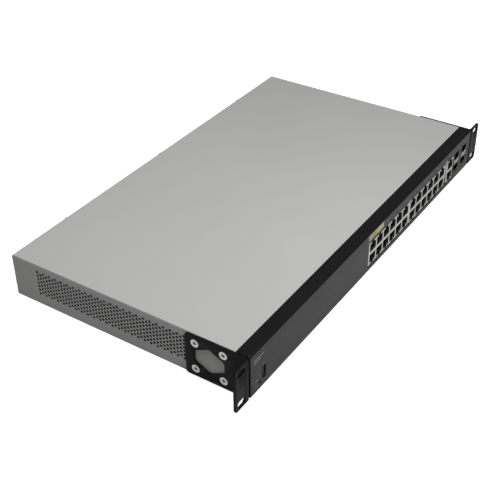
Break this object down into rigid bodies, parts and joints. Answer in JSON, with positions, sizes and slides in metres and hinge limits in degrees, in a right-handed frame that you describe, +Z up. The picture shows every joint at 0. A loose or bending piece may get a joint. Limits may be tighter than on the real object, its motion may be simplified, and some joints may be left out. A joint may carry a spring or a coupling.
{
  "type": "rackmount network switch",
  "caption": "Flat one-unit rackmount network switch: grey vented steel case, black bezel with stacked network jacks and module cages, and bolted black rack ears.",
  "frame": {"origin": "under the middle of the object's bounding box, on the surface that it rests on", "axes": "+X along the front panel, left to right as seen from the front; -Y is the way the front panel faces, +Y towards the rear wall; +Z up"},
  "size_m": [0.4826, 0.2586, 0.044],
  "materials": {
    "grey_paint": "satin grey powder paint with a fine grain",
    "plated_steel": "zinc-plated sheet, dull",
    "bezel_plastic": "fine satin black moulding",
    "label_film": "printed yellow-green film, blank",
    "black_paint": "satin black powder paint",
    "nickel_screw": "bright nickel plate",
    "steel_screw": "zinc plate",
    "earth_brass": "bright",
    "board_laminate": "green solder mask",
    "spacer_brass": "plain",
    "chip_plastic": "moulded epoxy",
    "sink_aluminium": "plain extruded",
    "can_aluminium": "plain drawn",
    "header_plastic": "ivory nylon",
    "jack_plastic": "black moulding",
    "shield_steel": "bright tin plate",
    "lens_plastic": "clear moulded lens",
    "contact_gold": "gold plate",
    "cage_steel": "bright nickel plate",
    "host_plastic": "black moulding",
    "usb_steel": "bright plate",
    "usb_plastic": "dark moulding",
    "button_plastic": "black moulding",
    "pipe_plastic": "clear acrylic",
    "ferrite": "sintered ferrite",
    "winding_tape": "yellow tape",
    "filter_plastic": "yellow box film capacitor",
    "inlet_plastic": "black moulding",
    "pin_brass": "plated brass",
    "plate_film": "silver film, blank",
    "fan_plastic": "black moulding",
    "lead_plastic": "black insulation"
  },
  "bodies": {
    "case": {"blank_label": "label_film", "board_capacitors": "can_aluminium", "board_screws": "steel_screw", "board_standoffs": "spacer_brass", "bulk_capacitors": "can_aluminium", "chassis_tray": "plated_steel", "chip_heat_sink": "sink_aluminium", "clinch_nuts": "steel_screw", "cover_screws": "steel_screw", "earth_screw": "earth_brass", "fan_headers": "header_plastic", "fan_leads": "lead_plastic", "fan_one_frame": "fan_plastic", "fan_screws": "steel_screw", "fan_two_frame": "fan_plastic", "filter_capacitor": "filter_plastic", "filter_choke": "ferrite", "front_bezel": "bezel_plastic", "inlet_pins": "pin_brass", "inlet_screws": "steel_screw", "main_board": "board_laminate", "mains_inlet": "inlet_plastic", "memory_chips": "chip_plastic", "module_cage_one": "cage_steel", "module_cage_two": "cage_steel", "module_connectors": "host_plastic", "port_block_one_contacts": "contact_gold", "port_block_one_housing": "jack_plastic", "port_block_one_lenses": "lens_plastic", "port_block_one_shield": "shield_steel", "port_block_three_contacts": "contact_gold", "port_block_three_housing": "jack_plastic", "port_block_three_lenses": "lens_plastic", "port_block_three_shield": "shield_steel", "port_block_two_contacts": "contact_gold", "port_block_two_housing": "jack_plastic", "port_block_two_lenses": "lens_plastic", "port_block_two_shield": "shield_steel", "power_drivers": "chip_plastic", "power_headers": "header_plastic", "power_lead": "lead_plastic", "rack_ear_left": "black_paint", "rack_ear_right": "black_paint", "rack_ear_screws": "nickel_screw", "rating_plate": "plate_film", "reset_switch": "button_plastic", "status_light_pipe": "pipe_plastic", "supply_board": "board_laminate", "supply_heat_sinks": "sink_aluminium", "supply_screws": "steel_screw", "supply_standoffs": "spacer_brass", "switch_chip": "chip_plastic", "top_cover": "grey_paint", "transformer_core": "ferrite", "transformer_winding": "winding_tape", "usb_insert": "usb_plastic", "usb_shell": "usb_steel"},
    "fan_one_rotor": {"fan_one_rotor": "fan_plastic"},
    "fan_two_rotor": {"fan_two_rotor": "fan_plastic"},
    "reset_button": {"reset_button": "button_plastic"}
  },
  "joints": [
    {"name": "fan_one_spin", "type": "hinge", "parent": "case", "child": "fan_one_rotor", "pos_m": [0.20785, 0.02075, 0.0215], "axis": [1, 0, 0], "continuous": true},
    {"name": "fan_two_spin", "type": "hinge", "parent": "case", "child": "fan_two_rotor", "pos_m": [0.20785, 0.06675, 0.0215], "axis": [1, 0, 0], "continuous": true},
    {"name": "reset_press", "type": "slide", "parent": "case", "child": "reset_button", "axis": [0, 1, 0], "range_m": [0, 0.0005], "stiffness_N_per_m": 800, "springref_m": -0.0005}
  ]
}
